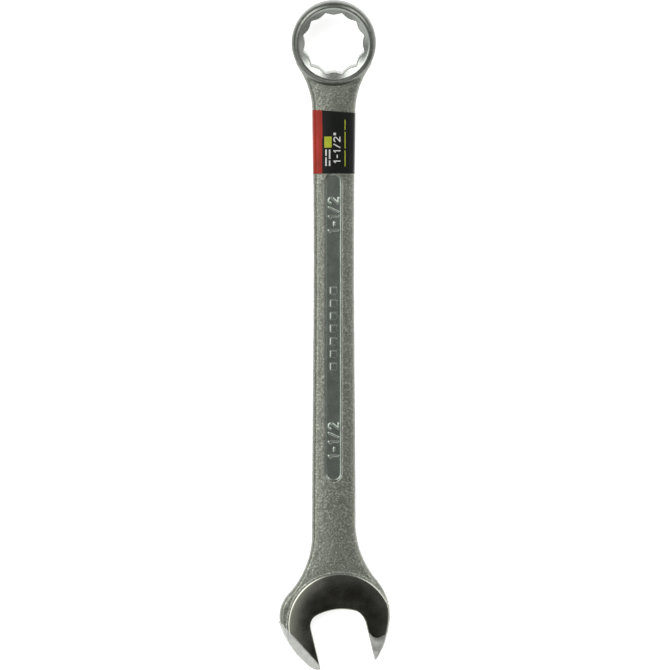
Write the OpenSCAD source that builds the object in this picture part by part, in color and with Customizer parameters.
// Combination wrench: one drop forging with an offset twelve-point box end and an
// angled open end, and a printed label wrapped round its shank.
// Millimetres, +Z up. The wrench lies level with the box end toward +Y. The origin is
// at the middle of the footprint, on the surface that it rests on.

/* [Box end] */
// Across-flats width of the twelve-point opening
box_af = 38.35; // [36:0.05:40]
// Outer diameter of the ring
ring_od = 59; // [57:0.1:64]
// Thickness of the ring along its own axis
ring_t = 20; // [16:0.5:22]
// Angle between the ring's plane and the shank
box_offset = 10; // [5:0.5:15]
// Radius of the rounded rim at both faces of the ring
ring_edge_r = 3.8; // [2:0.1:5]
// Diameter of the countersink where it meets the ring's face
mouth_d = 49.8; // [46:0.1:50]
// Depth of the countersink below the ring's face
mouth_depth = 3.2; // [1:0.1:4]

/* [Box neck] */
// Slope of the straight flank that leaves the ring, measured from the shank's length
flank_angle = 28.8; // [20:0.2:35]
// Radius that blends the flank into the side of the shank
flank_r = 54; // [30:1:80]

/* [Shank] */
// Distance from the ring's centre to the open head's centre
centre_distance = 399.7; // [340:0.1:440]
// Thickness at the middle of the shank
shank_t = 11.5; // [9:0.1:13]
// Width next to the box end
shank_w_box = 29.6; // [26:0.1:32]
// Width at the narrowest place
shank_w_waist = 27.7; // [24:0.1:30]
// Width next to the open end
shank_w_open = 29.8; // [26:0.1:32]
// Distance from the ring's centre to the narrowest place
waist_at = 150; // [110:1:200]
// Radius of the rounded long edges
shank_edge_r = 3.6; // [2:0.1:4.4]
// Radius of the crown across each broad face
crown_r = 90; // [70:5:300]

/* [Open end] */
// Width between the jaw faces
jaw_gap = 38.3; // [36:0.05:40]
// Angle between the jaw opening and the shank
open_angle = 13.4; // [5:0.1:20]
// Sideways place of the opening from the shank's middle line
jaw_shift = 1.3; // [-1:0.1:2]
// Thickness of the head over its ground faces
head_t = 16; // [13:0.5:18]
// Thickness of the head's forged rim
rim_t = 12.6; // [11:0.1:13]
// Radius of the head's rounded back
head_r = 35.5; // [34:0.1:38]
// Sideways place of the back's centre from the shank's middle line
head_shift = 3.2; // [1:0.1:4]
// Radius of the tighter shoulder on the -X side of the head
shoulder_r = 22; // [20:1:24]
// Centre of the shoulder, from the head's centre
shoulder_at = [-15.8, -1.6]; // [-17:0.1:0]
// Radius of the two blends from the head into the shank
head_blend_r = 63; // [50:1:70]
// Centre of the outer side of the -X jaw, in the frame of the opening
left_jaw_at = [22.4, 7.3]; // [5:0.1:24]
// Radius of the outer side of the -X jaw
left_jaw_r = 62; // [61:0.5:63]
// Centre of the outer side of the +X jaw, in the frame of the opening
right_jaw_at = [-18.5, 3.1]; // [-20:0.1:4]
// Radius of the outer side of the +X jaw
right_jaw_r = 56; // [55:0.5:57]
// Distance from the head's centre to the jaw tips
tip_at = 36.7; // [34:0.1:38]
// Slant of the jaw tips, which makes the +X jaw longer
tip_slant = 5; // [0:0.5:8]
// Distance from the head's centre to the top of the throat's arc
throat_at = 3.6; // [1:0.1:5]
// Radius of the throat's arc
throat_r = 37.4; // [34:0.1:50]
// Distance of the throat's arc centre from the middle of the opening
throat_shift = -3.3; // [-4:0.1:0]
// Radius in the two corners of the throat
throat_corner_r = 5.2; // [3:0.1:6]
// Radius of the round ground faces
pad_r = 36.9; // [35:0.1:38]
// Centre of the ground faces, from the head's centre
pad_at = [4.6, -7.8]; // [-9:0.1:6]
// Change of radius over the height of a ground face
pad_draft = 1.2; // [0.5:0.1:2]

/* [Recessed panels] */
// Width of each panel's floor
panel_w = 9.6; // [6:0.1:12]
// Depth of each panel below the crown
panel_depth = 0.9; // [0.4:0.1:1.4]
// Distance from the ring's centre to the panel's near end
panel_from = 92; // [80:1:120]
// Distance from the ring's centre to the panel's far end
panel_to = 306; // [240:1:310]

/* [Label] */
// Thickness of the printed film
label_t = 0.2; // [0.1:0.05:0.4]
// Distance from the ring's centre to the label's near edge
label_from = 48; // [48:1:60]
// Distance from the ring's centre to the label's far edge
label_to = 91.6; // [70:0.2:110]

/* [Hidden] */
$fn = 96;

ring_r = ring_od / 2;
ring_reach = (ring_r - ring_edge_r) * cos(box_offset)
    + (ring_t / 2 - ring_edge_r) * sin(box_offset) + ring_edge_r;
ring_z = (ring_r - ring_edge_r) * sin(box_offset)
    + (ring_t / 2 - ring_edge_r) * cos(box_offset) + ring_edge_r;
// Outer corner of the -X jaw's tip, in a frame that is square to the slanted tips
left_jaw_centre = [left_jaw_at[0] * cos(tip_slant) - left_jaw_at[1] * sin(tip_slant),
                   left_jaw_at[0] * sin(tip_slant) + left_jaw_at[1] * cos(tip_slant)];
tip_corner = left_jaw_centre[0]
    - sqrt(pow(left_jaw_r, 2) - pow(tip_at + left_jaw_centre[1], 2));
tip_reach = tip_at * cos(open_angle - tip_slant) - tip_corner * sin(open_angle - tip_slant);
ring_y = (centre_distance + tip_reach - ring_reach) / 2;
head_y = ring_y - centre_distance;
mid_z = head_t / 2;
flank_end = ring_y - ring_r * sin(flank_angle)
    - (ring_r * cos(flank_angle) - shank_w_box / 2) / tan(flank_angle)
    - flank_r * tan(flank_angle / 2);
overlap = 1;
wall_max = 60;
// Height of the hole's cutter: past both faces of the ring
hole_cut = 1.4 * ring_t;
// Turn of the countersinks' seams, half way from a ridge of the hole to a notch
seam_turn = 7.5;
// Thickness of both necks, sunk a little below the crowned shank
neck_t = shank_t - 1;
back_centre = [head_shift, head_y];
shoulder_centre = [-shoulder_at[0], head_y + shoulder_at[1]];

// Centre of the arc that blends a circle into a straight side, on the +X side
function blend_centre(centre, r, side) =
    [side + head_blend_r,
     centre[1] + sqrt(pow(r + head_blend_r, 2) - pow(side + head_blend_r - centre[0], 2))];

// Point of a circle that faces another point
function facing(centre, r, point) = centre + r * (point - centre) / norm(point - centre);

// ---- shank ----

// Half of the section: rounded long edges and a crowned face
module shank_section(half_w, half_t) {
    intersection() {
        union() {
            translate([-half_w, -(half_t - shank_edge_r)])
                square([2 * half_w, 2 * (half_t - shank_edge_r)]);
            translate([-(half_w - shank_edge_r), -half_t])
                square([2 * (half_w - shank_edge_r), 2 * half_t]);
            for (x = [-1, 1], z = [-1, 1])
                translate([x * (half_w - shank_edge_r), z * (half_t - shank_edge_r)])
                    circle(shank_edge_r);
        }
        for (z = [-1, 1])
            translate([0, z * (half_t - crown_r)]) circle(crown_r, $fn = 360);
    }
}

// Plan of the shank: two long tapers that meet at the waist
module shank_plan(grow) {
    half_ends = [shank_w_box / 2 + grow, shank_w_waist / 2 + grow, shank_w_open / 2 + grow];
    ys = [flank_end, ring_y - waist_at, head_y];
    polygon([
        [half_ends[0], ring_y], [half_ends[0], ys[0]], [half_ends[1], ys[1]],
        [half_ends[2], ys[2] + head_blend_r], [half_ends[2], ys[2]],
        [-half_ends[2], ys[2]], [-half_ends[2], ys[2] + head_blend_r],
        [-half_ends[1], ys[1]], [-half_ends[0], ys[0]], [-half_ends[0], ring_y],
    ]);
}

// The shank as a solid, grown outward for the film that wraps it
module shank_solid(grow, from_y, to_y) {
    intersection() {
        linear_extrude(wall_max, center = true) shank_plan(grow);
        translate([0, from_y, 0]) rotate([90, 0, 0])
            linear_extrude(from_y - to_y)
                shank_section(max(shank_w_box, shank_w_open) / 2 + grow, shank_t / 2 + grow);
    }
}

// Stadium-shaped recess in both broad faces
module panel_recesses() {
    for (z = [0, 1]) mirror([0, 0, z])
        translate([0, 0, shank_t / 2 - panel_depth])
            linear_extrude(overlap + panel_depth)
                for (y = [ring_y - panel_from - panel_w / 2, ring_y - panel_to + panel_w / 2])
                    union() {
                        translate([0, y]) circle(panel_w / 2);
                        translate([-panel_w / 2, ring_y - panel_to + panel_w / 2])
                            square([panel_w, panel_to - panel_from - panel_w]);
                    }
}

// ---- box end ----

// Half profile of the ring: a bar with rounded rims
module ring_profile() {
    inner = ring_r - ring_edge_r;
    translate([0, -ring_t / 2]) square([inner, ring_t]);
    translate([0, -(ring_t / 2 - ring_edge_r)]) square([ring_r, ring_t - 2 * ring_edge_r]);
    for (z = [-1, 1])
        translate([inner, z * (ring_t / 2 - ring_edge_r)]) circle(ring_edge_r);
}

// Twelve-point hole: two hexagonal prisms turned 30 degrees, and a cone at each face
module twelve_point_hole() {
    corner_r = box_af / 2 / cos(30);
    for (turn = [15, 45]) rotate([0, 0, turn])
        cylinder(r = corner_r, h = hole_cut, center = true, $fn = 6);
    cone_slope = (mouth_d / 2 - box_af / 2) / mouth_depth;
    // The cones' seams are turned away from the ridges of the hole
    for (z = [0, 1]) mirror([0, 0, z])
        translate([0, 0, ring_t / 2 - mouth_depth]) rotate([0, 0, seam_turn])
            cylinder(r1 = box_af / 2, r2 = mouth_d / 2 + overlap * cone_slope,
                     h = mouth_depth + overlap);
}

module ring_place() {
    translate([0, ring_y, ring_z]) rotate([box_offset, 0, 0]) children();
}

// Plan of the neck: straight flanks off the ring, blended into the shank
module box_neck_plan() {
    contact = [ring_r * cos(flank_angle), ring_y - ring_r * sin(flank_angle)];
    root = [-overlap, contact[1]];
    start = [shank_w_box / 2 + flank_r * (1 - cos(flank_angle)),
             flank_end + flank_r * sin(flank_angle)];
    for (side = [0, 1]) mirror([side, 0])
        difference() {
            polygon([contact, start, [shank_w_box / 2, flank_end], [-overlap, flank_end], root]);
            translate([shank_w_box / 2 + flank_r, flank_end]) circle(flank_r, $fn = 180);
        }
}

// ---- open end ----

// Frame of the opening: its middle line, with the mouth toward local -Y
module head_place() {
    translate([jaw_shift, head_y]) rotate(open_angle) children();
}

// Solid outline of the head before the opening is cut
module head_outline() {
    intersection() {
        translate(back_centre) circle(head_r, $fn = 180);
        translate([-overlap, head_y - wall_max]) square([wall_max, 2 * wall_max]);
    }
    mirror([1, 0]) translate(shoulder_centre) circle(shoulder_r);
    head_place()
        intersection() {
            translate(left_jaw_at) circle(left_jaw_r, $fn = 180);
            translate(right_jaw_at) circle(right_jaw_r, $fn = 180);
            rotate(-tip_slant) translate([-wall_max, -tip_at]) square([2 * wall_max, tip_at]);
        }
}

// Space between the jaws, with the throat's arc and its two rounded corners
module jaw_opening() {
    half = jaw_gap / 2;
    arc_centre = [throat_shift, throat_at - throat_r];
    corners = [for (side = [-1, 1]) let (u = side * (half - throat_corner_r))
        [u, arc_centre[1] + sqrt(pow(throat_r - throat_corner_r, 2) - pow(u - arc_centre[0], 2))]];
    polygon([
        [-half, -wall_max], [-half, corners[0][1]], corners[0],
        corners[1], [half, corners[1][1]], [half, -wall_max],
    ]);
    for (corner = corners)
        translate(corner) circle(throat_corner_r);
    intersection() {
        translate(arc_centre) circle(throat_r, $fn = 180);
        polygon([arc_centre, 2 * corners[1] - arc_centre, 2 * corners[0] - arc_centre]);
    }
}

// Plan of the neck: one large arc on each side
module open_neck_plan() {
    side = shank_w_open / 2;
    centres = [back_centre, shoulder_centre];
    radii = [head_r, shoulder_r];
    for (k = [0, 1]) mirror([k, 0]) {
        c = centres[k];
        b = blend_centre(c, radii[k], side);
        difference() {
            polygon([[side, b[1]], facing(c, radii[k], b), c, [-overlap, c[1]],
                     [-overlap, b[1]]]);
            translate(b) circle(head_blend_r, $fn = 180);
        }
    }
}

// The two ground faces stand proud of the rim as round pads with a slight draft
module head_pads() {
    intersection() {
        linear_extrude(head_t, center = true) {
            head_outline();
            open_neck_plan();
        }
        translate([pad_at[0], head_y + pad_at[1], 0])
            for (z = [0, 1]) mirror([0, 0, z])
                cylinder(r1 = pad_r, r2 = pad_r - pad_draft, h = head_t / 2);
    }
}

// ---- sub-parts ----

module wrench_forging() {
    color([0.47, 0.48, 0.44])
        difference() {
            union() {
                ring_place() rotate_extrude($fn = 180)
                    intersection() {
                        ring_profile();
                        translate([0, -ring_t]) square([ring_od, 2 * ring_t]);
                    }
                translate([0, 0, mid_z]) {
                    difference() {
                        shank_solid(0, ring_y - ring_r / 2, head_y);
                        panel_recesses();
                    }
                    linear_extrude(neck_t, center = true) box_neck_plan();
                    linear_extrude(rim_t, center = true) head_outline();
                    linear_extrude(neck_t, center = true) open_neck_plan();
                    head_pads();
                }
            }
            ring_place() twelve_point_hole();
            translate([0, 0, mid_z])
                linear_extrude(wall_max, center = true) head_place() jaw_opening();
        }
}

module wrap_label() {
    color([0.08, 0.09, 0.08])
        translate([0, 0, mid_z])
            difference() {
                shank_solid(label_t, ring_y - label_from, ring_y - label_to);
                shank_solid(0, ring_y, ring_y - label_to - overlap);
            }
}

wrench_forging();
wrap_label();
